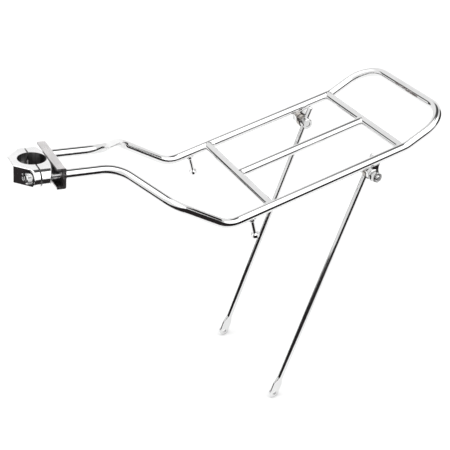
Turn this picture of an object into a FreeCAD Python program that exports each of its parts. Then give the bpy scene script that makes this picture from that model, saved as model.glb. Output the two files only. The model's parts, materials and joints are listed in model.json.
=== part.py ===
import FreeCAD, Part
import math
import os

# Rear rack for a bicycle. It clamps to the seatpost and stands on two adjustable stays.
# Frame: origin on the seatpost axis, in the middle of the clamp's height. +X points to the back of the
# bicycle, +Z up, and the platform is level. Left is -Y. All lengths are millimetres, all angles degrees.
# "Clamp frame" below means the same origin, turned so that its x runs along the arms and its z up the post.

# ---- seatpost and clamp ----
SEAT_TILT = 17.4            # the seatpost leans this far back from upright
POST_RADIUS = 13.6          # a 27.2 mm seatpost
JAW_HEIGHT = 18.0
JAW_FRONT = 20.4            # post axis to the flat nose of the front jaw
JAW_NOSE_HALF = 10.5        # half width of that flat nose
JAW_LUG_FRONT = 6.5         # post axis to the front face of the bolt lugs
JAW_BACK = 14.5             # post axis to the flat back of the rear jaw
JAW_BACK_HALF = 8.0         # half width of that flat back; beside it the back curves forward
JAW_BACK_MIDDLE = (12.2, 22.0)  # a point of that curve
JAW_LUG_BACK = 8.7          # post axis to the back of the bolt lugs, at their outside
CHEEK_ANGLE = 45.0          # slant of the cheeks beside the nose
CHEEK_BLEND = 8.0           # radius where a cheek runs into its lug
SPLIT_GAP = 1.5             # gap between the jaws
CORNER_BLEND = 0.8          # radius on the nose's corners and on the jaws' outside edges
BOLT_HALF_SPACING = 23.0    # the bolts and the arm tubes share these two axes

# ---- clamp bolts (M6 socket head) ----
BOLT_RADIUS = 3.0
BOLT_LENGTH = 40.0
BOLT_HEAD_RADIUS = 5.0
BOLT_HEAD_HEIGHT = 6.0
HEX_KEY = 5.0
HEX_KEY_DEPTH = 3.2
RIM_CHAMFER = 0.5           # on bolt heads, nuts and bosses
THREAD_CHAMFER = 0.6        # on the ends of threaded shanks
BOLT_HOLE_RADIUS = 3.3      # clearance holes
THREAD_HOLE_RADIUS = 3.05
SPOT_FACE_RADIUS = 6.8
SPOT_FACE_DEPTH = 1.0       # below the lug's front face
WASHER_RADIUS = 6.25
WASHER_THICKNESS = 1.2
HEAD_SEAT_GAP = 0.05        # bolt head to washer

# ---- crosspiece and arm bushes ----
CROSSPIECE_HALF_WIDTH = 32.0
CROSSPIECE_HEIGHT = 21.0
CROSSPIECE_DEPTH = 9.0
CHANNEL_WALL = 2.0
CHANNEL_CORNER = 1.6
BUSH_COLLAR_RADIUS = 5.6
BUSH_COLLAR_LENGTH = 1.5
BUSH_SPIGOT_LENGTH = 20.0

# ---- tubes ----
TUBE_RADIUS = 4.75
TUBE_BORE = 3.9
SPIGOT_CLEARANCE = 0.05
PLATFORM_Z = -100.0         # centre line of the platform
RAIL_HALF_SPACING = 75.5
ARM_END = 77.2              # first bend, measured along the arm from the post axis
SPLAY_END = (104.1, -53.0)  # x, z where the arms have reached the full width
RAIL_START = 151.5          # x where the slope meets the platform
KICK_START = 359.5          # x where the rails turn up at the back
HOOP_END = 414.0            # x of the closing tube
HOOP_END_Z = -85.0
FRONT_BAR_X = 200.2
REAR_BAR_X = 354.5
ARM_BEND = 30.0             # bend radii on the centre line
SPLAY_BEND = 22.0
DROP_BEND = 30.0
KICK_BEND = 25.0
HOOP_CORNER = 31.0
FLARE = 3.0                 # radius of the brazed fillets at the tube joints
BAR_RADIUS = 4.6            # crossbars
CENTER_TUBE_RADIUS = 4.45

# ---- strap pegs ----
PEG_X = 177.0
PEG_SHAFT_RADIUS = 2.3
PEG_FOOT_RADIUS = 4.2
PEG_HEAD_RADIUS = 4.3
PEG_FOOT_END = 5.4          # depths below the rail's centre line: where the foot starts to narrow
PEG_HEAD_TOP = 21.0
PEG_HEAD_EDGE = 22.2
PEG_DOME_START = 25.4
PEG_BOTTOM = 27.4

# ---- stay lugs ----
EYE_X = 316.8
EYE_DROP = 15.3             # cross hole below the rail's centre line
LUG_HALF_LENGTH = 9.6
LUG_SHOULDER = 4.2          # depth where the lug starts to narrow
LUG_WAIST = (7.0, 7.6)      # half width and depth halfway down the concave side
LUG_NECK_HALF = 6.2         # half width where the sides run into the boss
LUG_THICKNESS = 5.0
BOSS_RADIUS = 6.5
BOSS_THICKNESS = 6.0
LUG_HOLE_RADIUS = 3.0

# ---- eyebolts and stays ----
ROD_RADIUS = 3.175
ROD_Y = 65.0                # the rods run beside the rails, inside them
ROD_CLEARANCE = 0.05
EYE_HEAD_RADIUS = 6.0
EYE_HEAD_INNER = 6.5        # head past the rod axis, towards the middle of the rack
EYE_HEAD_OUTER = 4.8        # and towards the lug
EYE_SHANK_RADIUS = 2.95
EYE_SHANK_END = 87.0        # |y| of the threaded end
EYE_HEAD_CHAMFER = 0.8
DIMPLE_DEPTH = 0.8          # turned recess in the head's end
SADDLE_RADIUS = 7.0
SADDLE_INNER = 67.0         # |y| of the saddle's grooved rim
SADDLE_GROOVE_CLEARANCE = 0.175
SADDLE_POCKET_CLEARANCE = 0.1
NUT_WIDTH = 10.0
NUT_HEIGHT = 5.0
NUT_HOLE_RADIUS = 3.0
NUT_TURN = 22.0             # degrees from a corner pointing straight back
LUG_WASHER_RADIUS = 6.0
STAY_RAKE = 33.4            # the stays lean this far forward from straight down
STAY_TOP = 18.4             # rod above the eye
STAY_FOOT = 278.2           # eye to the drilled hole
TAB_WIDTH = 11.0
TAB_THICKNESS = 2.8
TAB_LENGTH = 12.5           # hole to the end of the forged part
FORGED_LENGTH = 8.0         # round rod to flat tab
TAB_HOLE_RADIUS = 2.65
ROD_END_CHAMFER = 0.8

ORIGIN = FreeCAD.Vector(0, 0, 0)
X_AXIS = FreeCAD.Vector(1, 0, 0)
Y_AXIS = FreeCAD.Vector(0, 1, 0)
Z_AXIS = FreeCAD.Vector(0, 0, 1)
SIDES = {"left": -1, "right": 1}
CLOSE = 0.01                # tolerance when picking edges by their place

WEB_FACE = JAW_BACK + CROSSPIECE_DEPTH      # rear face of the crosspiece
ARM_START = WEB_FACE + BUSH_COLLAR_LENGTH
EYE_Z = PLATFORM_Z - EYE_DROP


def cylinder(start, axis, length, radius):
    return Part.makeCylinder(radius, length, FreeCAD.Vector(*start), axis)


def tilted(shape):
    """Turn a shape from the clamp frame into the rack's frame."""
    shape.rotate(ORIGIN, Y_AXIS, SEAT_TILT)
    return shape


def chamfered_cylinder(start, axis, length, radius, chamfer):
    """A cylinder with both rims chamfered."""
    body = cylinder(start, axis, length, radius)
    rims = [edge for edge in body.Edges if isinstance(edge.Curve, Part.Circle)]
    return body.makeChamfer(chamfer, rims)


def hexagon(centre, axis, corner_dir, across_flats, length):
    """A hexagonal prism; the unit vector corner_dir points from its axis to a corner."""
    corner_radius = across_flats / math.sqrt(3)
    first = corner_dir * corner_radius
    corners = []
    for step in range(6):
        turn = FreeCAD.Rotation(axis, 60.0 * step)
        corners.append(centre + turn.multVec(first))
    face = Part.Face(Part.makePolygon(corners + corners[:1]))
    return face.extrude(axis * length)


# ---- tubes ----

def bent_wire(corners, radii):
    """Straight runs through the corners, joined by tangent arcs."""
    edges = []
    run_start = corners[0]
    for before, corner, after, radius in zip(corners, corners[1:], corners[2:], radii):
        back = (before - corner).normalize()
        ahead = (after - corner).normalize()
        half_angle = back.getAngle(ahead) / 2
        reach = radius / math.tan(half_angle)
        to_centre = (back + ahead).normalize()
        centre = corner + to_centre * (radius / math.sin(half_angle))
        arc_start = corner + back * reach
        arc_end = corner + ahead * reach
        edges.append(Part.LineSegment(run_start, arc_start).toShape())
        edges.append(Part.Arc(arc_start, centre - to_centre * radius, arc_end).toShape())
        run_start = arc_end
    edges.append(Part.LineSegment(run_start, corners[-1]).toShape())
    return Part.Wire(edges)


def swept(path, direction, radius):
    """A round bar along a path."""
    section = Part.Wire(Part.makeCircle(radius, path.OrderedVertexes[0].Point, direction))
    return path.makePipeShell([section], True, False)


def main_hoop():
    """Both arms, both rails and the closing tube are one bent tube, open at its two front ends."""
    arm_direction = FreeCAD.Rotation(Y_AXIS, SEAT_TILT).multVec(X_AXIS)
    arm_start = arm_direction * ARM_START
    arm_end = arm_direction * ARM_END
    half = [
        arm_start + Y_AXIS * BOLT_HALF_SPACING,
        arm_end + Y_AXIS * BOLT_HALF_SPACING,
        FreeCAD.Vector(SPLAY_END[0], RAIL_HALF_SPACING, SPLAY_END[1]),
        FreeCAD.Vector(RAIL_START, RAIL_HALF_SPACING, PLATFORM_Z),
        FreeCAD.Vector(KICK_START, RAIL_HALF_SPACING, PLATFORM_Z),
        FreeCAD.Vector(HOOP_END, RAIL_HALF_SPACING, HOOP_END_Z),
    ]
    other = [FreeCAD.Vector(point.x, -point.y, point.z) for point in reversed(half)]
    radii = [ARM_BEND, SPLAY_BEND, DROP_BEND, KICK_BEND, HOOP_CORNER]
    path = bent_wire(half + other, radii + radii[::-1])
    outside = swept(path, arm_direction, TUBE_RADIUS)
    inside = swept(path, arm_direction, TUBE_BORE)
    return outside.cut(inside)


def rail(side):
    """The space that one straight rail takes, for fitting parts against it."""
    start = (RAIL_START, side * RAIL_HALF_SPACING, PLATFORM_Z)
    return cylinder(start, X_AXIS, HOOP_END - RAIL_START, TUBE_RADIUS)


def brazed_half(length, radius, tube_radius):
    """Half a bar, from its middle out along +Y to the centre line of the tube that it meets, with the
    brazed fillet. What lies inside the tube is cut away later."""
    stub_half = radius + FLARE
    stub = cylinder((-stub_half, length, 0), X_AXIS, 2 * stub_half, tube_radius)
    joined = stub.fuse(cylinder((0, 0, 0), Y_AXIS, length, radius))
    seam = [edge for edge in joined.Edges
            if edge.BoundBox.YMin > length - 2 * tube_radius and 1 < edge.BoundBox.XLength < 2.1 * radius]
    keep = Part.makeBox(4 * stub_half, length, 4 * tube_radius,
                        FreeCAD.Vector(-2 * stub_half, 0, -2 * tube_radius))
    return joined.makeFillet(FLARE, seam).common(keep)


def brazed_bar(length, radius, tube_radius):
    """Two mirrored halves: a bar of twice the length, centred on the origin along Y."""
    near = brazed_half(length, radius, tube_radius)
    far = near.copy()
    far.rotate(ORIGIN, Z_AXIS, 180)
    return near.fuse(far).removeSplitter()


def crossbar(x):
    bar = brazed_bar(RAIL_HALF_SPACING, BAR_RADIUS, TUBE_RADIUS)
    bar.translate(FreeCAD.Vector(x, 0, PLATFORM_Z))
    return bar.cut([rail(side) for side in SIDES.values()])


def center_tube():
    middle = (FRONT_BAR_X + REAR_BAR_X) / 2
    tube = brazed_bar((REAR_BAR_X - FRONT_BAR_X) / 2, CENTER_TUBE_RADIUS, BAR_RADIUS)
    tube.rotate(ORIGIN, Z_AXIS, 90)
    tube.translate(FreeCAD.Vector(middle, 0, PLATFORM_Z))
    bars = [cylinder((x, -RAIL_HALF_SPACING, PLATFORM_Z), Y_AXIS, 2 * RAIL_HALF_SPACING, BAR_RADIUS)
            for x in (FRONT_BAR_X, REAR_BAR_X)]
    return tube.cut(bars)


# ---- strap pegs ----

def strap_peg(side):
    """A turned peg: flared foot, slim shaft, round head with a domed end."""
    flare = PEG_FOOT_RADIUS - PEG_SHAFT_RADIUS
    shaft_start = PEG_FOOT_END + flare
    flare_middle = flare * math.sqrt(0.5)
    dome_height = PEG_BOTTOM - PEG_DOME_START
    dome_radius = (PEG_HEAD_RADIUS ** 2 + dome_height ** 2) / (2 * dome_height)
    dome_half_angle = math.asin(PEG_HEAD_RADIUS / dome_radius) / 2
    dome_centre = PEG_BOTTOM - dome_radius

    def point(radius, depth):
        return FreeCAD.Vector(radius, 0, -depth)

    def line(start, end):
        return Part.LineSegment(point(*start), point(*end))

    dome_middle = point(dome_radius * math.sin(dome_half_angle),
                        dome_centre + dome_radius * math.cos(dome_half_angle))
    outline = [
        line((0, 0), (PEG_FOOT_RADIUS, 0)),
        line((PEG_FOOT_RADIUS, 0), (PEG_FOOT_RADIUS, PEG_FOOT_END)),
        Part.Arc(point(PEG_FOOT_RADIUS, PEG_FOOT_END),
                 point(PEG_FOOT_RADIUS - flare_middle, shaft_start - flare_middle),
                 point(PEG_SHAFT_RADIUS, shaft_start)),
        line((PEG_SHAFT_RADIUS, shaft_start), (PEG_SHAFT_RADIUS, PEG_HEAD_TOP)),
        line((PEG_SHAFT_RADIUS, PEG_HEAD_TOP), (PEG_HEAD_RADIUS, PEG_HEAD_EDGE)),
        line((PEG_HEAD_RADIUS, PEG_HEAD_EDGE), (PEG_HEAD_RADIUS, PEG_DOME_START)),
        Part.Arc(point(PEG_HEAD_RADIUS, PEG_DOME_START), dome_middle, point(0, PEG_BOTTOM)),
        line((0, PEG_BOTTOM), (0, 0)),
    ]
    face = Part.Face(Part.Wire([curve.toShape() for curve in outline]))
    peg = face.revolve(ORIGIN, Z_AXIS, 360)
    peg.translate(FreeCAD.Vector(PEG_X, side * RAIL_HALF_SPACING, PLATFORM_Z))
    return peg.cut(rail(side))


# ---- stay lugs ----

def stay_lug(side):
    """A flared plate under the rail that narrows to a round boss with a cross hole."""
    neck = EYE_DROP - math.sqrt(BOSS_RADIUS ** 2 - LUG_NECK_HALF ** 2)

    def point(x, depth):
        return FreeCAD.Vector(EYE_X + x, 0, PLATFORM_Z - depth)

    def concave_side(sign):
        return Part.Arc(point(sign * LUG_HALF_LENGTH, LUG_SHOULDER),
                        point(sign * LUG_WAIST[0], LUG_WAIST[1]),
                        point(sign * LUG_NECK_HALF, neck))

    outline = [
        Part.LineSegment(point(-LUG_HALF_LENGTH, 0), point(LUG_HALF_LENGTH, 0)),
        Part.LineSegment(point(LUG_HALF_LENGTH, 0), point(LUG_HALF_LENGTH, LUG_SHOULDER)),
        concave_side(1),
        Part.Arc(point(LUG_NECK_HALF, neck), point(0, EYE_DROP + BOSS_RADIUS), point(-LUG_NECK_HALF, neck)),
        concave_side(-1),
        Part.LineSegment(point(-LUG_HALF_LENGTH, LUG_SHOULDER), point(-LUG_HALF_LENGTH, 0)),
    ]
    face = Part.Face(Part.Wire([curve.toShape() for curve in outline]))
    plate = face.extrude(Y_AXIS * LUG_THICKNESS)
    plate.translate(Y_AXIS * (side * RAIL_HALF_SPACING - LUG_THICKNESS / 2))
    boss_start = side * RAIL_HALF_SPACING - BOSS_THICKNESS / 2
    boss = chamfered_cylinder((EYE_X, boss_start, EYE_Z), Y_AXIS, BOSS_THICKNESS, BOSS_RADIUS,
                              RIM_CHAMFER)
    hole = cylinder((EYE_X, boss_start, EYE_Z), Y_AXIS, BOSS_THICKNESS, LUG_HOLE_RADIUS)
    return plate.fuse(boss).cut([hole, rail(side)])


# ---- seatpost clamp, in the clamp frame ----

def jaw_blank(front, back):
    """The part of the jaws' common shape, two round lugs joined by a block, between two planes."""
    length = back - front
    corner = FreeCAD.Vector(front, -BOLT_HALF_SPACING, -JAW_HEIGHT / 2)
    block = Part.makeBox(length, 2 * BOLT_HALF_SPACING, JAW_HEIGHT, corner)
    lugs = [cylinder((front, side * BOLT_HALF_SPACING, 0), X_AXIS, length, JAW_HEIGHT / 2)
            for side in SIDES.values()]
    return block.fuse(lugs).removeSplitter()


def jaw_holes():
    """The post's bore and the two bolt holes."""
    bore = cylinder((0, 0, -JAW_HEIGHT), Z_AXIS, 2 * JAW_HEIGHT, POST_RADIUS)
    reach = 2 * JAW_FRONT
    holes = [cylinder((-reach, side * BOLT_HALF_SPACING, 0), X_AXIS, 2 * reach, BOLT_HOLE_RADIUS)
             for side in SIDES.values()]
    return [bore] + holes


def outer_edges(jaw):
    """The edges around a jaw's outside from lug to lug, above and below, away from the split."""
    edges = []
    for edge in jaw.Edges:
        box = edge.BoundBox
        flat = box.ZLength < CLOSE and abs(abs(box.ZMin) - JAW_HEIGHT / 2) < CLOSE
        lug_seam = box.YLength < CLOSE
        lug_rim = box.ZLength > JAW_HEIGHT / 2 and box.YLength > CLOSE
        split_face = min(abs(box.XMin), abs(box.XMax)) < SPLIT_GAP
        if (flat and not lug_seam or lug_rim) and not split_face:
            edges.append(edge)
    return edges


def clamp_jaw_rear():
    """A flat back in the middle that curves forward to the bolt lugs."""
    lug_end = BOLT_HALF_SPACING + JAW_HEIGHT / 2
    z = -JAW_HEIGHT / 2

    def point(x, y):
        return FreeCAD.Vector(x, y, z)

    def curved_back(side):
        return Part.Arc(point(JAW_BACK, side * JAW_BACK_HALF),
                        point(JAW_BACK_MIDDLE[0], side * JAW_BACK_MIDDLE[1]),
                        point(JAW_LUG_BACK, side * lug_end))

    outline = [
        Part.LineSegment(point(JAW_BACK, -JAW_BACK_HALF), point(JAW_BACK, JAW_BACK_HALF)),
        curved_back(1),
        Part.LineSegment(point(JAW_LUG_BACK, lug_end), point(SPLIT_GAP / 2, lug_end)),
        Part.LineSegment(point(SPLIT_GAP / 2, lug_end), point(SPLIT_GAP / 2, -lug_end)),
        Part.LineSegment(point(SPLIT_GAP / 2, -lug_end), point(JAW_LUG_BACK, -lug_end)),
        curved_back(-1),
    ]
    plan = Part.Face(Part.Wire([curve.toShape() for curve in outline])).extrude(Z_AXIS * JAW_HEIGHT)
    jaw = jaw_blank(SPLIT_GAP / 2, JAW_BACK).common(plan)
    jaw = jaw.makeFillet(CORNER_BLEND, outer_edges(jaw))
    return tilted(jaw.cut(jaw_holes()))


def clamp_jaw_front():
    """A nose with a flat front and slanted cheeks that run into the bolt lugs."""
    lug_end = BOLT_HALF_SPACING + JAW_HEIGHT / 2
    cheek_run = (JAW_FRONT - JAW_LUG_FRONT) / math.tan(math.radians(CHEEK_ANGLE))
    cheek_foot = JAW_NOSE_HALF + cheek_run
    z = -JAW_HEIGHT / 2

    def point(x, y):
        return FreeCAD.Vector(x, y, z)

    contour = bent_wire(
        [point(-JAW_LUG_FRONT, -lug_end), point(-JAW_LUG_FRONT, -cheek_foot),
         point(-JAW_FRONT, -JAW_NOSE_HALF), point(-JAW_FRONT, JAW_NOSE_HALF),
         point(-JAW_LUG_FRONT, cheek_foot), point(-JAW_LUG_FRONT, lug_end)],
        [CHEEK_BLEND, CORNER_BLEND, CORNER_BLEND, CHEEK_BLEND])
    back = Part.makePolygon([point(-JAW_LUG_FRONT, lug_end), point(-SPLIT_GAP / 2, lug_end),
                             point(-SPLIT_GAP / 2, -lug_end), point(-JAW_LUG_FRONT, -lug_end)])
    plan = Part.Face(Part.Wire(contour.Edges + back.Edges)).extrude(Z_AXIS * JAW_HEIGHT)
    jaw = jaw_blank(-JAW_FRONT, -SPLIT_GAP / 2).common(plan)
    jaw = jaw.makeFillet(CORNER_BLEND, outer_edges(jaw))
    spot_start = -2 * JAW_FRONT
    spot_length = -JAW_LUG_FRONT + SPOT_FACE_DEPTH - spot_start
    spots = [cylinder((spot_start, side * BOLT_HALF_SPACING, 0), X_AXIS, spot_length, SPOT_FACE_RADIUS)
             for side in SIDES.values()]
    return tilted(jaw.cut(jaw_holes() + spots))


WASHER_FACE = -JAW_LUG_FRONT + SPOT_FACE_DEPTH - WASHER_THICKNESS   # front of the washer


def clamp_washer(side):
    start = (WASHER_FACE, side * BOLT_HALF_SPACING, 0)
    ring = cylinder(start, X_AXIS, WASHER_THICKNESS, WASHER_RADIUS)
    return tilted(ring.cut(cylinder(start, X_AXIS, WASHER_THICKNESS, BOLT_HOLE_RADIUS)))


def clamp_bolt(side):
    """Socket head, with a shank that ends inside the arm's bush."""
    y = side * BOLT_HALF_SPACING
    head_end = WASHER_FACE - HEAD_SEAT_GAP
    head_start = head_end - BOLT_HEAD_HEIGHT
    head = chamfered_cylinder((head_start, y, 0), X_AXIS, BOLT_HEAD_HEIGHT, BOLT_HEAD_RADIUS,
                              RIM_CHAMFER)
    socket = hexagon(FreeCAD.Vector(head_start, y, 0), X_AXIS, Z_AXIS, HEX_KEY, HEX_KEY_DEPTH)
    shank = chamfered_cylinder((head_end - 1, y, 0), X_AXIS, BOLT_LENGTH + 1, BOLT_RADIUS,
                               THREAD_CHAMFER)
    return tilted(head.cut(socket).fuse(shank).removeSplitter())


def crosspiece():
    """A channel, open to the front, whose flange edges carry the rear jaw."""
    corner = FreeCAD.Vector(JAW_BACK, -CROSSPIECE_HALF_WIDTH, -CROSSPIECE_HEIGHT / 2)
    block = Part.makeBox(CROSSPIECE_DEPTH, 2 * CROSSPIECE_HALF_WIDTH, CROSSPIECE_HEIGHT, corner)
    back_edges = [edge for edge in block.Edges
                  if abs(edge.CenterOfMass.x - WEB_FACE) < CLOSE and abs(edge.CenterOfMass.y) < CLOSE]
    block = block.makeFillet(CHANNEL_CORNER, back_edges)
    inner_corner = FreeCAD.Vector(JAW_BACK, -CROSSPIECE_HALF_WIDTH, CHANNEL_WALL - CROSSPIECE_HEIGHT / 2)
    inner = Part.makeBox(CROSSPIECE_DEPTH - CHANNEL_WALL, 2 * CROSSPIECE_HALF_WIDTH,
                         CROSSPIECE_HEIGHT - 2 * CHANNEL_WALL, inner_corner)
    holes = [cylinder((JAW_BACK, side * BOLT_HALF_SPACING, 0), X_AXIS, CROSSPIECE_DEPTH, BOLT_HOLE_RADIUS)
             for side in SIDES.values()]
    return tilted(block.cut([inner] + holes))


def arm_bush(side):
    """Threaded bush in the front end of an arm, with a collar between the crosspiece and the tube."""
    start = (WEB_FACE, side * BOLT_HALF_SPACING, 0)
    collar = cylinder(start, X_AXIS, BUSH_COLLAR_LENGTH, BUSH_COLLAR_RADIUS)
    length = BUSH_COLLAR_LENGTH + BUSH_SPIGOT_LENGTH
    spigot = cylinder(start, X_AXIS, length, TUBE_BORE - SPIGOT_CLEARANCE)
    thread = cylinder(start, X_AXIS, length, THREAD_HOLE_RADIUS)
    return tilted(collar.fuse(spigot).cut(thread))


# ---- eyebolts and stays ----

def across(side, inner, outer, radius):
    """A cylinder on an eyebolt's axis, between two distances from the rack's middle plane."""
    y = min(side * inner, side * outer)
    return cylinder((EYE_X, y, EYE_Z), Y_AXIS, outer - inner, radius)


def rod_space(side, radius):
    """A round hole along the stay, through the eye."""
    reach = 4 * EYE_HEAD_RADIUS
    hole = Part.makeCylinder(radius, 2 * reach, FreeCAD.Vector(0, side * ROD_Y, -reach))
    return placed_at_eye(hole)


def placed_at_eye(shape):
    """Lean a shape, made upright over the origin, to the stay's angle and move it to the eye."""
    shape.rotate(ORIGIN, Y_AXIS, STAY_RAKE)
    shape.translate(FreeCAD.Vector(EYE_X, 0, EYE_Z))
    return shape


BOSS_INNER = RAIL_HALF_SPACING - BOSS_THICKNESS / 2
BOSS_OUTER = RAIL_HALF_SPACING + BOSS_THICKNESS / 2
NUT_FACE = BOSS_OUTER + WASHER_THICKNESS


def eyebolt(side):
    """A round head with a cross hole for the rod, a dimpled end, and a threaded shank through the lug."""
    head_inner = ROD_Y - EYE_HEAD_INNER
    head_outer = ROD_Y + EYE_HEAD_OUTER
    head_start = (EYE_X, min(side * head_inner, side * head_outer), EYE_Z)
    head = chamfered_cylinder(head_start, Y_AXIS, head_outer - head_inner, EYE_HEAD_RADIUS,
                              EYE_HEAD_CHAMFER)
    shank_inner = head_outer - 1
    shank_start = (EYE_X, min(side * shank_inner, side * EYE_SHANK_END), EYE_Z)
    shank = chamfered_cylinder(shank_start, Y_AXIS, EYE_SHANK_END - shank_inner, EYE_SHANK_RADIUS,
                               THREAD_CHAMFER)
    dimple = across(side, head_inner, head_inner + DIMPLE_DEPTH, EYE_SHANK_RADIUS)
    hole = rod_space(side, ROD_RADIUS + ROD_CLEARANCE)
    return head.fuse(shank).removeSplitter().cut([dimple, hole])


def eye_saddle(side):
    """A cupped washer: the head sinks into it, and the rod lies in the groove across its rim."""
    body = across(side, SADDLE_INNER, BOSS_INNER, SADDLE_RADIUS)
    pocket_floor = ROD_Y + EYE_HEAD_OUTER + SADDLE_POCKET_CLEARANCE
    pocket = across(side, SADDLE_INNER, pocket_floor, EYE_HEAD_RADIUS + SADDLE_POCKET_CLEARANCE)
    hole = across(side, SADDLE_INNER, BOSS_INNER, LUG_HOLE_RADIUS + SADDLE_POCKET_CLEARANCE)
    groove = rod_space(side, ROD_RADIUS + SADDLE_GROOVE_CLEARANCE)
    return body.cut([pocket, hole, groove])


def lug_washer(side):
    ring = across(side, BOSS_OUTER, NUT_FACE, LUG_WASHER_RADIUS)
    return ring.cut(across(side, BOSS_OUTER, NUT_FACE, LUG_HOLE_RADIUS + SADDLE_POCKET_CLEARANCE))


def stay_nut(side):
    """A hexagon nut with its outer corners turned off."""
    start_y = min(side * NUT_FACE, side * (NUT_FACE + NUT_HEIGHT))
    centre = FreeCAD.Vector(EYE_X, start_y, EYE_Z)
    corner_direction = FreeCAD.Rotation(Y_AXIS, -NUT_TURN).multVec(X_AXIS)
    prism = hexagon(centre, Y_AXIS, corner_direction, NUT_WIDTH, NUT_HEIGHT)
    corner_radius = NUT_WIDTH / math.sqrt(3)
    turned = chamfered_cylinder((EYE_X, start_y, EYE_Z), Y_AXIS, NUT_HEIGHT, corner_radius, RIM_CHAMFER)
    hole = cylinder((EYE_X, start_y, EYE_Z), Y_AXIS, NUT_HEIGHT, NUT_HOLE_RADIUS)
    return prism.common(turned).cut(hole)


def four_edge_section(z, half_flat, half_height, bulge):
    """A closed outline in two flats and two ends; with flats of arcs it is a circle."""
    corners = [FreeCAD.Vector(sx * half_flat, sy * half_height, z)
               for sx, sy in ((-1, 1), (1, 1), (1, -1), (-1, -1))]
    right = FreeCAD.Vector(bulge, 0, z)
    left = FreeCAD.Vector(-bulge, 0, z)
    if abs(half_flat - half_height) < 0.001:
        flats = [Part.Arc(corners[0], FreeCAD.Vector(0, bulge, z), corners[1]),
                 Part.Arc(corners[2], FreeCAD.Vector(0, -bulge, z), corners[3])]
    else:
        flats = [Part.LineSegment(corners[0], corners[1]), Part.LineSegment(corners[2], corners[3])]
    ends = [Part.Arc(corners[1], right, corners[2]), Part.Arc(corners[3], left, corners[0])]
    curves = [flats[0], ends[0], flats[1], ends[1]]
    return Part.Wire([curve.toShape() for curve in curves])


def stay(side):
    """A solid rod, forged flat at its foot into a tab with a hole."""
    rod_end = -STAY_FOOT + TAB_LENGTH + FORGED_LENGTH
    tab_start = -STAY_FOOT + TAB_LENGTH
    rod = cylinder((0, 0, rod_end), Z_AXIS, STAY_TOP - rod_end, ROD_RADIUS)
    top_rim = [edge for edge in rod.Edges
               if isinstance(edge.Curve, Part.Circle) and edge.Curve.Center.z > 0]
    rod = rod.makeChamfer(ROD_END_CHAMFER, top_rim)
    square = ROD_RADIUS / math.sqrt(2)
    half_thick = TAB_THICKNESS / 2
    half_width = TAB_WIDTH / 2
    round_end = four_edge_section(rod_end, square, square, ROD_RADIUS)
    flat_end = four_edge_section(tab_start, half_width - half_thick, half_thick, half_width)
    forged = Part.makeLoft([round_end, flat_end], True)
    tab = Part.Face(flat_end).extrude(Z_AXIS * -TAB_LENGTH)
    disc = cylinder((0, -half_thick, -STAY_FOOT), Y_AXIS, TAB_THICKNESS, half_width)
    hole = cylinder((0, -half_thick, -STAY_FOOT), Y_AXIS, TAB_THICKNESS, TAB_HOLE_RADIUS)
    whole = rod.fuse([forged, tab, disc]).cut(hole)
    whole.translate(Y_AXIS * (side * ROD_Y))
    return placed_at_eye(whole)


def build():
    nodes = {
        "main_hoop": main_hoop(),
        "front_crossbar": crossbar(FRONT_BAR_X),
        "rear_crossbar": crossbar(REAR_BAR_X),
        "center_tube": center_tube(),
        "crosspiece": crosspiece(),
        "clamp_jaw_rear": clamp_jaw_rear(),
        "clamp_jaw_front": clamp_jaw_front(),
    }
    paired = {
        "strap_peg": strap_peg, "stay_lug": stay_lug, "arm_bush": arm_bush, "clamp_bolt": clamp_bolt,
        "clamp_washer": clamp_washer, "eyebolt": eyebolt, "eye_saddle": eye_saddle,
        "lug_washer": lug_washer, "stay_nut": stay_nut, "stay": stay,
    }
    for name, maker in paired.items():
        for side_name, side in SIDES.items():
            nodes[name + "_" + side_name] = maker(side)
    return nodes


def main():
    os.makedirs("parts", exist_ok=True)
    for name, shape in build().items():
        solids = len(shape.Solids)
        print("%-18s valid=%s solids=%d volume=%.1f" % (name, shape.isValid(), solids, shape.Volume))
        shape.exportStep("parts/%s.step" % name)


main()
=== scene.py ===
import json
import math

import bpy
from mathutils import Matrix, Vector


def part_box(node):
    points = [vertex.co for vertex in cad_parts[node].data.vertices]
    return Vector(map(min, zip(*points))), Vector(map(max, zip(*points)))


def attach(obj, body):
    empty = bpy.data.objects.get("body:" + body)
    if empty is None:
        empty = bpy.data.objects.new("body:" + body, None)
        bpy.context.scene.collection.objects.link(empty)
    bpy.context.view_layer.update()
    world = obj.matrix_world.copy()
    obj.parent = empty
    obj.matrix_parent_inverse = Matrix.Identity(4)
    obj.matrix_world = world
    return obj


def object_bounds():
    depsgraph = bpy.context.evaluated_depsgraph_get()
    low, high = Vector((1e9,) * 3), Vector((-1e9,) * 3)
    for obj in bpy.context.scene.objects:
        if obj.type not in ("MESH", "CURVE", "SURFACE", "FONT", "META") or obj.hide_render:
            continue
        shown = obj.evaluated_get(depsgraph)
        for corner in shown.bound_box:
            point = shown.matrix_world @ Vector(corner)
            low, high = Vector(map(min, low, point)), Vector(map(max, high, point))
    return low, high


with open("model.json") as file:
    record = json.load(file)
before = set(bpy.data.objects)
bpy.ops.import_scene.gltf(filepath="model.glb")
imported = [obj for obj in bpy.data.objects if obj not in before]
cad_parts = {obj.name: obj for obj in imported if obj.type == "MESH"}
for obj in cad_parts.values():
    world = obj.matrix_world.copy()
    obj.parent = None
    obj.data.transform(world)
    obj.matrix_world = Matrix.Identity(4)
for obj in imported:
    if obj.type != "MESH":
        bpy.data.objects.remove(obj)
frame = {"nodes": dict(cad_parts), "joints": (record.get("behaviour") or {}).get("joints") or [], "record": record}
CAD_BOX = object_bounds()

# Metres, in the rack's own frame: origin on the seatpost axis, +X to the back of the bicycle, +Z up, and
# left is -Y.
MM = 0.001

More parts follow.
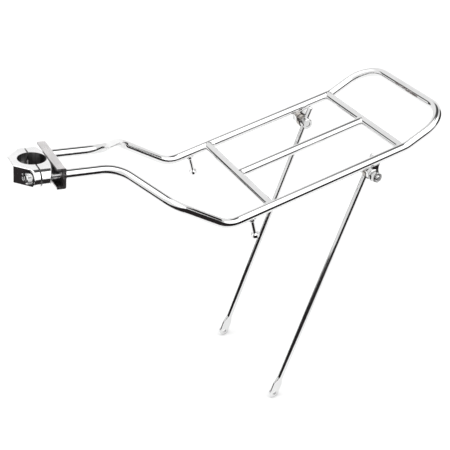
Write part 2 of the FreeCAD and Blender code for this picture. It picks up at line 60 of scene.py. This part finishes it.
# ---- camera ----
CAMERA_PLACE = Vector((-0.11485, -0.85676, 0.48053))
CAMERA_AZIMUTH = math.radians(-18.625)
CAMERA_ELEVATION = math.radians(35.056)
CAMERA_ROLL = math.radians(-13.015)
CAMERA_LENS = 82.59
SENSOR = 36.0

# ---- studio ----
FLOOR_SIZE = 12.0
FLOOR_GAP = 0.4 * MM         # the feet stand this far above the floor
FLOOR_TONE = 0.86
FLAG_LIFT = 1.0 * MM         # the flags start this far above the floor
SHEET_EDGE = ((-0.65, 0.08), (0.65, -0.45))  # x, y of two points of a line; in front of it the floor
                             # reflects dark, as it does beyond the edge of a white sheet
FRONT_FLAG_Y = -0.55         # upright dark flags stand round the front and the sides
LEFT_FLAG_X = -0.65
RIGHT_FLAG_X = 1.05
LEFT_FLAG_STEP_Y = 0.30      # the left flag is tall up to here and low behind
LEFT_FLAG_END_Y = 1.40
RIGHT_FLAG_END_Y = 0.15
FLAG_TOP = -0.065
LEFT_FLAG_TOP = 0.03
LEFT_FLAG_LOW_TOP = -0.10
RIGHT_FLAG_TOP = 0.12
FLAG_DARK = 0.024
FLAG_TINT = (1.0, 0.86, 0.89)
SKY_TONE = 0.97
GAP_TONE = 0.03              # a dark upright gap in the surroundings
GAP_AZIMUTHS = (-39, -28)    # degrees: azimuth 0 is +Y and 90 is +X
GAP_ELEVATIONS = (-3, 36)
GAP_SIDE_BLUR = 0.03         # radians
GAP_END_BLUR = 4             # degrees
SKY_PATCHES = (              # azimuth, elevation, inner and outer half angle, tone
    (50, 57, 20, 26, 0.08),  # dark ceiling
    (5, 63, 13, 20, 0.12),   # its far corner
    (143, 38, 30, 38, 1.9),  # softbox on the camera's side, to its right
    (-80, 78, 26, 40, 2.0),  # overhead light
)

# ---- the rack's own parts ----
JOINTS = {joint["name"]: joint for joint in frame["joints"]}
SIDES = ("left", "right")

# ---- small shapes added to the CAD parts ----
BORE_RADIUS = 13.6 * MM
CLAMP_PITCH = 1.0 * MM
THREAD_DEPTH = 0.28 * MM
THREAD_END = 0.9 * MM        # the threads stop this far from a shank's chamfered end
THREAD_STEPS = 24            # points per turn
CLAMP_SHANK_RADIUS = 3.0 * MM
EYE_SHANK_RADIUS = 2.95 * MM
HEAD_RADIUS = 5.0 * MM
HEAD_FACE_RADIUS = 4.5 * MM  # inside the rim's chamfer
HEAD_LENGTH = 6.0 * MM
KNURL_RIDGES = 36
KNURL_DEPTH = 0.16 * MM
KNURL_MARGIN = 0.9 * MM
BEAD_RADIUS = 0.75 * MM
BEAD_STEPS = 48
BEAD_UNEVENNESS = 0.08
LUG_BEAD_STEPS = 72
LUG_CORNER_POWER = 0.35      # below 1, this squares a circle towards the lug's oblong plate
LUG_HALF_THICKNESS = 2.5 * MM
LABEL_ENDS = (-25 * MM, 18 * MM)
LABEL_STEP = -3 * MM         # the stripe and the lower part of the field run from the near end to here
LABEL_THICKNESS = 0.12 * MM
LABEL_SHELL = 0.18 * MM      # thick enough to reach into the tube
LABEL_ROWS = 12
LABEL_COLUMNS = 8
FAR_FIELD_ANGLES = (-28, 62)  # label angles are degrees from straight up towards the front
NEAR_FIELD_ANGLES = (-8, 78)
STRIPE_ANGLES = (-40, -16)


def box_centre(node):
    low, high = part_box(node)
    return (low + high) / 2


def box_size(node):
    low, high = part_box(node)
    return high - low


ARM_DIRECTION = -Vector(JOINTS["jaw_open"]["axis"])
POST_DIRECTION = ARM_DIRECTION.cross(Vector((0, 1, 0)))
PLATFORM_Z = box_centre("front_crossbar").z
RAIL_Y = box_centre("strap_peg_right").y
TUBE_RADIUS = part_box("main_hoop")[1].y - RAIL_Y
REARMOST = 0.999             # points of the closing tube this share of its radius behind its axis


# ---- small node helpers ----

class Nodes:
    """A thin wrapper that adds and links shader nodes."""

    def __init__(self, tree):
        self.tree = tree
        tree.nodes.clear()

    def add(self, kind, inputs=None, **settings):
        node = self.tree.nodes.new(kind)
        for key, value in settings.items():
            setattr(node, key, value)
        for key, value in (inputs or {}).items():
            self.put(node.inputs[key], value)
        return node

    def put(self, socket, value):
        if isinstance(value, bpy.types.NodeSocket):
            self.tree.links.new(value, socket)
        else:
            socket.default_value = value

    def math(self, operation, first, second=0.0, clamp=False):
        node = self.add("ShaderNodeMath", operation=operation, use_clamp=clamp)
        self.put(node.inputs[0], first)
        self.put(node.inputs[1], second)
        return node.outputs[0]

    def span(self, value, low, high, to_low=0.0, to_high=1.0, smooth=True):
        """Map a value from one range to another."""
        node = self.add("ShaderNodeMapRange", interpolation_type="SMOOTHSTEP" if smooth else "LINEAR")
        for name, number in (("Value", value), ("From Min", low), ("From Max", high),
                             ("To Min", to_low), ("To Max", to_high)):
            self.put(node.inputs[name], number)
        return node.outputs[0]

    def noise(self, vector, scale, detail=4.0, roughness=0.55):
        node = self.add("ShaderNodeTexNoise",
                        {"Vector": vector, "Scale": scale, "Detail": detail, "Roughness": roughness})
        return node.outputs[0]

    def stretched(self, vector, scale, rotation=(0, 0, 0)):
        return self.add("ShaderNodeMapping",
                        {"Vector": vector, "Scale": scale, "Rotation": rotation}).outputs[0]

    def mix(self, factor, first, second):
        node = self.add("ShaderNodeMix", data_type="RGBA")
        self.put(node.inputs["Factor"], factor)
        self.put(node.inputs["A"], first)
        self.put(node.inputs["B"], second)
        return node.outputs["Result"]

    def bump(self, height, strength, distance, normal=None):
        inputs = {"Height": height, "Strength": strength, "Distance": distance}
        if normal is not None:
            inputs["Normal"] = normal
        return self.add("ShaderNodeBump", inputs).outputs[0]


def grey(value, tint=(1.0, 1.0, 1.0)):
    return (value * tint[0], value * tint[1], value * tint[2], 1.0)


def new_material(name):
    material = bpy.data.materials.new(name)
    material.use_nodes = True
    return material, Nodes(material.node_tree)


def metal(name, light, dark, rough, scratch_rough, waviness, grain=(1, 1, 1), grain_strength=0.0,
          tint=(1.0, 1.0, 1.0), shade_reach=0.006, shade_strength=0.8, bore_shade_tone=None):
    """A metal with patchy tone, fine scratches, a slow waviness, painted shade in its crevices and, if asked, a
    brushed grain and a machined bore round the seatpost, painted dark as shade."""
    material, nodes = new_material(name)
    place = nodes.add("ShaderNodeTexCoord").outputs["Object"]
    patches = nodes.span(nodes.noise(place, 38.0), 0.35, 0.7)
    specks = nodes.span(nodes.noise(place, 900.0, 6.0, 0.7), 0.62, 0.74)
    tone = nodes.mix(patches, grey(light, tint), grey(light * 0.6 + dark * 0.4, tint))
    tone = nodes.mix(nodes.math("MULTIPLY", specks, 0.35), tone, grey(dark, tint))
    scratch_space = nodes.stretched(place, (260.0, 2600.0, 2600.0), (0.3, 0.5, 0.2))
    scratches = nodes.span(nodes.noise(scratch_space, 1.0, 2.0, 0.5), 0.66, 0.78)
    roughness = nodes.math("ADD", nodes.span(patches, 0.0, 1.0, rough * 0.75, rough * 1.3, False),
                           nodes.math("MULTIPLY", scratches, scratch_rough))
    roughness = nodes.math("ADD", roughness, nodes.math("MULTIPLY", specks, scratch_rough))
    normal = nodes.bump(nodes.noise(place, 70.0, 2.0), waviness, 0.002)
    normal = nodes.bump(nodes.math("MULTIPLY", scratches, -1.0), 0.05, 0.0001, normal)
    if grain_strength:
        fine = nodes.noise(nodes.stretched(place, grain), 1.0, 5.0, 0.6)
        normal = nodes.bump(fine, grain_strength, 0.00025, normal)
        roughness = nodes.math("ADD", roughness, nodes.span(fine, 0.3, 0.7, -0.04, 0.05, False))
        tone = nodes.mix(nodes.span(fine, 0.4, 0.8, 0.0, 0.3), tone, grey(dark, tint))
    # Painted shade: the bore round the seatpost is coloured dark for the shade inside the clamp's ring; the flutes
    # are machining marks.
    if bore_shade_tone:
        along_post = nodes.add("ShaderNodeVectorMath", {0: place, 1: tuple(POST_DIRECTION)},
                               operation="DOT_PRODUCT").outputs["Value"]
        on_axis = nodes.add("ShaderNodeVectorMath", {0: tuple(POST_DIRECTION), "Scale": along_post},
                            operation="SCALE").outputs[0]
        from_axis = nodes.add("ShaderNodeVectorMath", {0: place, 1: on_axis}, operation="SUBTRACT").outputs[0]
        distance = nodes.add("ShaderNodeVectorMath", {0: from_axis}, operation="LENGTH").outputs["Value"]
        bore = nodes.span(distance, BORE_RADIUS + 0.05 * MM, BORE_RADIUS + 0.4 * MM, 1.0, 0.0)
        flutes = nodes.span(nodes.noise(from_axis, 260.0, 2.0), 0.42, 0.62)
        bore_shade_colour = nodes.mix(flutes, grey(bore_shade_tone, tint), grey(bore_shade_tone * 2.2, tint))
        tone = nodes.mix(bore, tone, bore_shade_colour)
        roughness = nodes.math("ADD", roughness, nodes.math("MULTIPLY", bore, 0.2))
    # Painted shade: an occlusion mask, broken up a little by noise, darkens the colour towards a near-black tone
    # in crevices and between parts, and roughens it there.
    occlusion = nodes.add("ShaderNodeAmbientOcclusion", {"Distance": shade_reach}, samples=8)
    crevice_shade = nodes.span(occlusion.outputs["AO"], 0.15, 0.75, 1.0, 0.0)
    crevice_shade = nodes.math("MULTIPLY", crevice_shade, nodes.span(nodes.noise(place, 420.0), 0.3, 0.6, 0.7, 1.0))
    tone = nodes.mix(nodes.math("MULTIPLY", crevice_shade, shade_strength), tone, CREVICE_SHADE_TONE)
    roughness = nodes.math("ADD", roughness, nodes.math("MULTIPLY", crevice_shade, 0.15))
    shader = nodes.add("ShaderNodeBsdfPrincipled", {
        "Base Color": tone, "Metallic": 1.0, "Roughness": roughness, "Normal": normal})
    output = nodes.add("ShaderNodeOutputMaterial")
    nodes.put(output.inputs["Surface"], shader.outputs[0])
    return material


def film(name, base, worn, scale):
    """A plain printed film, flecked and worn."""
    material, nodes = new_material(name)
    place = nodes.add("ShaderNodeTexCoord").outputs["Object"]
    wear = nodes.span(nodes.noise(place, scale, 5.0, 0.65), 0.48, 0.62)
    shader = nodes.add("ShaderNodeBsdfPrincipled", {
        "Base Color": nodes.mix(wear, base, worn), "Roughness": nodes.span(wear, 0.0, 1.0, 0.25, 0.5, False),
        "Normal": nodes.bump(wear, 0.2, 0.0001)})
    output = nodes.add("ShaderNodeOutputMaterial")
    nodes.put(output.inputs["Surface"], shader.outputs[0])
    return material


def plain(name, colour, roughness):
    material, nodes = new_material(name)
    shader = nodes.add("ShaderNodeBsdfPrincipled", {"Base Color": colour, "Roughness": roughness})
    output = nodes.add("ShaderNodeOutputMaterial")
    nodes.put(output.inputs["Surface"], shader.outputs[0])
    return material


def glow(name, colour, strength):
    material, nodes = new_material(name)
    shader = nodes.add("ShaderNodeEmission", {"Color": colour, "Strength": strength})
    output = nodes.add("ShaderNodeOutputMaterial")
    nodes.put(output.inputs["Surface"], shader.outputs[0])
    return material


# Painted shade: the near-black tone that metal() mixes into crevices and between parts.
CREVICE_SHADE_TONE = (0.035, 0.028, 0.026, 1.0)
CHROME = metal("chrome", light=0.80, dark=0.68, rough=0.03, scratch_rough=0.08, waviness=0.02)
ROD_CHROME = metal("rod_chrome", light=0.78, dark=0.62, rough=0.05, scratch_rough=0.10, waviness=0.03)
# The jaw's bore is painted dark as shade.
ALUMINIUM = metal("jaw_aluminium", light=0.96, dark=0.74, rough=0.11, scratch_rough=0.15, waviness=0.08,
                  bore_shade_tone=0.16)
# The satin crosspiece gets deeper, wider painted shade, which darkens its channel.
SATIN = metal("crosspiece_satin", light=0.76, dark=0.56, rough=0.28, scratch_rough=0.10, waviness=0.03,
              grain=(1200.0, 90.0, 1200.0), grain_strength=0.35, tint=(1.0, 0.975, 0.975),
              shade_reach=0.016, shade_strength=0.97)
STEEL = metal("fastener_steel", light=0.66, dark=0.40, rough=0.12, scratch_rough=0.15, waviness=0.04)
DULL_STEEL = metal("dull_steel", light=0.42, dark=0.16, rough=0.14, scratch_rough=0.15, waviness=0.10,
                   tint=(1.0, 0.94, 0.88))

LABEL_FIELD = film("label_field", (0.045, 0.03, 0.028, 1.0), (0.72, 0.68, 0.66, 1.0), 900.0)
LABEL_STRIPE = film("label_stripe", (0.04, 0.13, 0.38, 1.0), (0.16, 0.30, 0.52, 1.0), 500.0)

NODE_FINISHES = {"eye_saddle": DULL_STEEL, "lug_washer": STEEL}  # these differ from the rest of their slot
FINISHES = {
    "frame_chrome": CHROME,
    "crosspiece_satin": SATIN,
    "jaw_aluminium": ALUMINIUM,
    "fastener_steel": STEEL,
    "stay_steel": ROD_CHROME,
}


def dress_nodes():
    """Give each CAD node the finish of its slot."""
    for row in frame["record"]["subparts"]:
        part = frame["nodes"][row["node"]]
        part.data.materials.clear()
        kind = row["node"].rsplit("_", 1)[0]
        part.data.materials.append(NODE_FINISHES.get(kind, FINISHES[row["material_slot"]]))


# ---- pieces that the CAD parts leave out ----

def add_piece(name, points, faces, material, body, smooth=True):
    mesh = bpy.data.meshes.new(name)
    mesh.from_pydata([tuple(point) for point in points], [], faces)
    mesh.materials.append(material)
    if smooth:
        mesh.shade_smooth()
    piece = bpy.data.objects.new(name, mesh)
    bpy.context.scene.collection.objects.link(piece)
    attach(piece, body)
    return piece


def bead(path, radius, sides=8, closed=True, unevenness=0.0):
    """A rope of metal along a path of (place, outward direction) pairs."""
    count = len(path)
    points, faces = [], []
    for index, (place, outward) in enumerate(path):
        before = path[index - 1][0] if closed or index > 0 else place
        after = path[(index + 1) % count][0] if closed or index < count - 1 else place
        along = (after - before).normalized()
        out = (outward - along * outward.dot(along)).normalized()
        across = along.cross(out)
        turn = 2 * math.pi * index / count
        swell = 1 + unevenness * (math.sin(7 * turn) + 0.6 * math.sin(13 * turn + 1))
        for side in range(sides):
            angle = 2 * math.pi * side / sides
            points.append(place + (out * math.cos(angle) + across * math.sin(angle)) * radius * swell)
    for index in range(count if closed else count - 1):
        first, second = index * sides, (index + 1) % count * sides
        for side in range(sides):
            other = (side + 1) % sides
            faces.append((first + side, first + other, second + other, second + side))
    if not closed:
        faces.append(tuple(range(sides)))
        faces.append(tuple(range((count - 1) * sides, count * sides))[::-1])
    return points, faces


def add_thread(name, start, direction, length, radius, body):
    """A helical thread on a shank, from start along direction."""
    side = direction.orthogonal().normalized()
    other = direction.cross(side)
    path = []
    for step in range(int(length / CLAMP_PITCH * THREAD_STEPS)):
        turn = 2 * math.pi * step / THREAD_STEPS
        outward = side * math.cos(turn) + other * math.sin(turn)
        path.append((start + direction * (CLAMP_PITCH * step / THREAD_STEPS) + outward * radius, outward))
    points, faces = bead(path, THREAD_DEPTH, 4, closed=False)
    return add_piece(name, points, faces, STEEL, body, smooth=False)


def add_knurl(name, start, direction, length, body):
    """Fine ridges along the side of a bolt's head."""
    side = direction.orthogonal().normalized()
    other = direction.cross(side)
    count = 2 * KNURL_RIDGES
    points, faces = [], []
    for distance, lift in ((0.0, 0.0), (KNURL_DEPTH, 1.0), (length - KNURL_DEPTH, 1.0), (length, 0.0)):
        for step in range(count):
            turn = 2 * math.pi * step / count
            radius = HEAD_RADIUS - KNURL_DEPTH / 2 + KNURL_DEPTH * 1.5 * lift * (step % 2)
            points.append(start + direction * distance
                          + (side * math.cos(turn) + other * math.sin(turn)) * radius)
    for row in range(3):
        for step in range(count):
            after = (step + 1) % count
            low, high = row * count, (row + 1) * count
            faces.append((low + step, low + after, high + after, high + step))
    faces.append(tuple(range(count))[::-1])
    faces.append(tuple(range(3 * count, 4 * count)))
    return add_piece(name, points, faces, STEEL, body, smooth=False)


def on_rail(rail_y, x, offset):
    """The point of a rail's underside at x, offset sideways from its middle."""
    drop = math.sqrt(TUBE_RADIUS ** 2 - offset ** 2)
    return Vector((x, rail_y + offset, PLATFORM_Z - drop))


def add_peg_bead(side):
    centre = box_centre("strap_peg_" + side)
    reach = box_size("strap_peg_" + side).x / 2
    path = []
    for step in range(BEAD_STEPS):
        turn = 2 * math.pi * step / BEAD_STEPS
        outward = Vector((math.cos(turn), math.sin(turn), 0.0))
        path.append((on_rail(centre.y, centre.x + reach * outward.x, reach * outward.y), outward))
    points, faces = bead(path, BEAD_RADIUS, unevenness=BEAD_UNEVENNESS)
    add_piece("peg_braze_" + side, points, faces, CHROME, "rack")


def add_lug_bead(side):
    """Braze round the lug's plate, where it meets the rail."""
    centre = box_centre("stay_lug_" + side)
    half_length = box_size("stay_lug_" + side).x / 2
    path = []
    for step in range(LUG_BEAD_STEPS):
        turn = 2 * math.pi * step / LUG_BEAD_STEPS
        outward = Vector((math.cos(turn), math.sin(turn), 0.0))
        along, across = [math.copysign(abs(value) ** LUG_CORNER_POWER, value) for value in outward[:2]]
        place = on_rail(centre.y, centre.x + half_length * along, LUG_HALF_THICKNESS * across)
        path.append((place, outward))
    points, faces = bead(path, BEAD_RADIUS, unevenness=BEAD_UNEVENNESS)
    add_piece("lug_braze_" + side, points, faces, CHROME, "rack")


def add_clamp_details(side):
    """Thread and a knurled head on a clamp bolt."""
    bolt_low, bolt_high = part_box("clamp_bolt_" + side)
    y = box_centre("clamp_bolt_" + side).y
    head_front = ARM_DIRECTION * ((bolt_low.x + HEAD_FACE_RADIUS * POST_DIRECTION.x) / ARM_DIRECTION.x)
    head_front.y = y
    shank_end = (bolt_high.x - CLAMP_SHANK_RADIUS * abs(POST_DIRECTION.x)) / ARM_DIRECTION.x
    start = Vector((0.0, y, 0.0))
    add_thread("clamp_thread_" + side, start, ARM_DIRECTION, shank_end - THREAD_END, CLAMP_SHANK_RADIUS,
               "bolt_" + side)
    add_knurl("head_knurl_" + side, head_front + ARM_DIRECTION * KNURL_MARGIN, ARM_DIRECTION,
              HEAD_LENGTH - 2 * KNURL_MARGIN, "bolt_" + side)


def add_eyebolt_thread(side):
    """Thread on the shank beyond the nut."""
    centre = box_centre("eyebolt_" + side)
    outward = 1 if centre.y > 0 else -1
    nut = box_centre("stay_nut_" + side)
    nut_face = abs(nut.y) + box_size("stay_nut_" + side).y / 2
    shank_end = abs(centre.y) + box_size("eyebolt_" + side).y / 2
    start = Vector((nut.x, outward * (nut_face - CLAMP_PITCH), nut.z))
    add_thread("eye_thread_" + side, start, Vector((0.0, outward, 0.0)),
               shank_end - nut_face + CLAMP_PITCH - THREAD_END, EYE_SHANK_RADIUS, "eye_" + side)


def closing_tube_axis():
    """x of the hoop's closing tube, and the middle height of its rearmost points."""
    hoop = frame["nodes"]["main_hoop"]
    axis_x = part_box("main_hoop")[1].x - TUBE_RADIUS
    places = [hoop.matrix_world @ vertex.co for vertex in hoop.data.vertices]
    heights = [place.z for place in places if place.x > axis_x + REARMOST * TUBE_RADIUS]
    return axis_x, (min(heights) + max(heights)) / 2


def add_film(name, ends, angles, material):
    """A film on the closing tube, between two places along it and two angles round it."""
    axis_x, axis_z = closing_tube_axis()
    rows, columns = LABEL_ROWS, LABEL_COLUMNS
    radius = TUBE_RADIUS + LABEL_THICKNESS
    points, faces = [], []
    for row in range(rows + 1):
        y = ends[0] + (ends[1] - ends[0]) * row / rows
        for column in range(columns + 1):
            angle = math.radians(angles[0] + (angles[1] - angles[0]) * column / columns)
            points.append(Vector((axis_x - radius * math.sin(angle), y, axis_z + radius * math.cos(angle))))
    for row in range(rows):
        for column in range(columns):
            first = row * (columns + 1) + column
            faces.append((first, first + 1, first + columns + 2, first + columns + 1))
    piece = add_piece(name, points, faces, material, "rack")
    shell = piece.modifiers.new("thickness", "SOLIDIFY")
    shell.thickness = LABEL_SHELL
    shell.offset = -1.0 if piece.data.polygons[0].normal.z > 0 else 1.0


def add_details():
    for side in SIDES:
        add_peg_bead(side)
        add_lug_bead(side)
        add_clamp_details(side)
        add_eyebolt_thread(side)
    near_end, far_end = LABEL_ENDS
    add_film("label_field_far", (LABEL_STEP, far_end), FAR_FIELD_ANGLES, LABEL_FIELD)
    add_film("label_field_near", (near_end, LABEL_STEP), NEAR_FIELD_ANGLES, LABEL_FIELD)
    add_film("label_stripe", (near_end, LABEL_STEP), STRIPE_ANGLES, LABEL_STRIPE)


# ---- camera and studio ----

def make_camera():
    azimuth, elevation = CAMERA_AZIMUTH, CAMERA_ELEVATION
    back = Vector((math.sin(azimuth) * math.cos(elevation), -math.cos(azimuth) * math.cos(elevation),
                   math.sin(elevation)))
    right = Vector((math.cos(azimuth), math.sin(azimuth), 0.0))
    up = back.cross(right)
    turned_right = right * math.cos(CAMERA_ROLL) + up * math.sin(CAMERA_ROLL)
    turned_up = up * math.cos(CAMERA_ROLL) - right * math.sin(CAMERA_ROLL)
    data = bpy.data.cameras.new("camera")
    data.sensor_width = SENSOR
    data.lens = CAMERA_LENS
    camera = bpy.data.objects.new("camera", data)
    bpy.context.scene.collection.objects.link(camera)
    axes = Matrix((turned_right, turned_up, back)).transposed()
    camera.matrix_world = Matrix.Translation(CAMERA_PLACE) @ axes.to_4x4()
    bpy.context.scene.camera = camera


def flat_card(name, corners, material):
    mesh = bpy.data.meshes.new(name)
    mesh.from_pydata([tuple(corner) for corner in corners], [], [tuple(range(len(corners)))])
    card = bpy.data.objects.new(name, mesh)
    bpy.context.scene.collection.objects.link(card)
    mesh.materials.append(material)
    return card


def reflected_only(card):
    """A studio card that shows only in reflections."""
    card.visible_camera = False
    card.visible_diffuse = False
    card.visible_shadow = False
    card.visible_transmission = False


def make_world():
    """Soft light from all round, bright above and to the right, with darker stretches near the horizon."""
    world = bpy.data.worlds.new("studio")
    bpy.context.scene.world = world
    world.use_nodes = True
    nodes = Nodes(world.node_tree)
    direction = nodes.add("ShaderNodeTexCoord").outputs["Generated"]
    split = nodes.add("ShaderNodeSeparateXYZ", {"Vector": direction})
    height = split.outputs["Z"]

    def toward(azimuth, elevation, inner, outer):
        """1 within inner degrees of a direction, 0 beyond outer."""
        turn, lift = math.radians(azimuth), math.radians(elevation)
        axis = (math.sin(turn) * math.cos(lift), math.cos(turn) * math.cos(lift), math.sin(lift))
        dot = nodes.add("ShaderNodeVectorMath", {0: direction, 1: axis}, operation="DOT_PRODUCT")
        return nodes.span(dot.outputs["Value"], math.cos(math.radians(outer)), math.cos(math.radians(inner)))

    def band(low, high, blur):
        """1 between two elevations."""
        rising = nodes.span(height, math.sin(math.radians(low - blur)), math.sin(math.radians(low + blur)))
        falling = nodes.span(height, math.sin(math.radians(high - blur)), math.sin(math.radians(high + blur)),
                             1.0, 0.0)
        return nodes.math("MULTIPLY", rising, falling)

    def between(value, low, high, blur):
        rising = nodes.span(value, low - blur, low + blur)
        falling = nodes.span(value, high - blur, high + blur, 1.0, 0.0)
        return nodes.math("MULTIPLY", rising, falling)

    azimuth = nodes.math("ARCTAN2", split.outputs["X"], split.outputs["Y"])
    gap_sides = between(azimuth, math.radians(GAP_AZIMUTHS[0]), math.radians(GAP_AZIMUTHS[1]), GAP_SIDE_BLUR)
    gap = nodes.math("MULTIPLY", gap_sides, band(*GAP_ELEVATIONS, GAP_END_BLUR))
    tone = nodes.mix(gap, grey(SKY_TONE), grey(GAP_TONE))
    for *patch, patch_tone in SKY_PATCHES:
        tone = nodes.mix(toward(*patch), tone, grey(patch_tone))
    background = nodes.add("ShaderNodeBackground", {"Color": tone, "Strength": 1.0})
    output = nodes.add("ShaderNodeOutputWorld")
    nodes.put(output.inputs["Surface"], background.outputs[0])


def make_studio():
    floor_z = CAD_BOX[0][2] - FLOOR_GAP
    half = FLOOR_SIZE / 2
    corners = [(-half, -half, floor_z), (half, -half, floor_z), (half, half, floor_z), (-half, half, floor_z)]
    flat_card("floor", corners, plain("pale_floor", grey(FLOOR_TONE), 0.9))
    dark = glow("flag_dark", grey(FLAG_DARK, FLAG_TINT), 1.0)
    low = floor_z + FLAG_LIFT
    left, right, front = LEFT_FLAG_X, RIGHT_FLAG_X, FRONT_FLAG_Y
    cards = {
        "floor_flag": [(left, front, low), (right, front, low), (right, SHEET_EDGE[1][1], low),
                       (*SHEET_EDGE[1], low), (*SHEET_EDGE[0], low)],
        "front_flag": [(left, front, low), (right, front, low), (right, front, FLAG_TOP),
                       (left, front, FLAG_TOP)],
        "left_flag": [(left, front, low), (left, LEFT_FLAG_STEP_Y, low),
                      (left, LEFT_FLAG_STEP_Y, LEFT_FLAG_TOP), (left, front, LEFT_FLAG_TOP)],
        "left_low_flag": [(left, LEFT_FLAG_STEP_Y, low), (left, LEFT_FLAG_END_Y, low),
                          (left, LEFT_FLAG_END_Y, LEFT_FLAG_LOW_TOP),
                          (left, LEFT_FLAG_STEP_Y, LEFT_FLAG_LOW_TOP)],
        "right_flag": [(right, front, low), (right, RIGHT_FLAG_END_Y, low),
                       (right, RIGHT_FLAG_END_Y, RIGHT_FLAG_TOP), (right, front, RIGHT_FLAG_TOP)],
    }
    for name, corners in cards.items():
        reflected_only(flat_card(name, corners, dark))
    make_world()


def main():
    bpy.context.scene.view_settings.view_transform = "Standard"
    make_camera()
    make_studio()
    dress_nodes()
    add_details()


main()
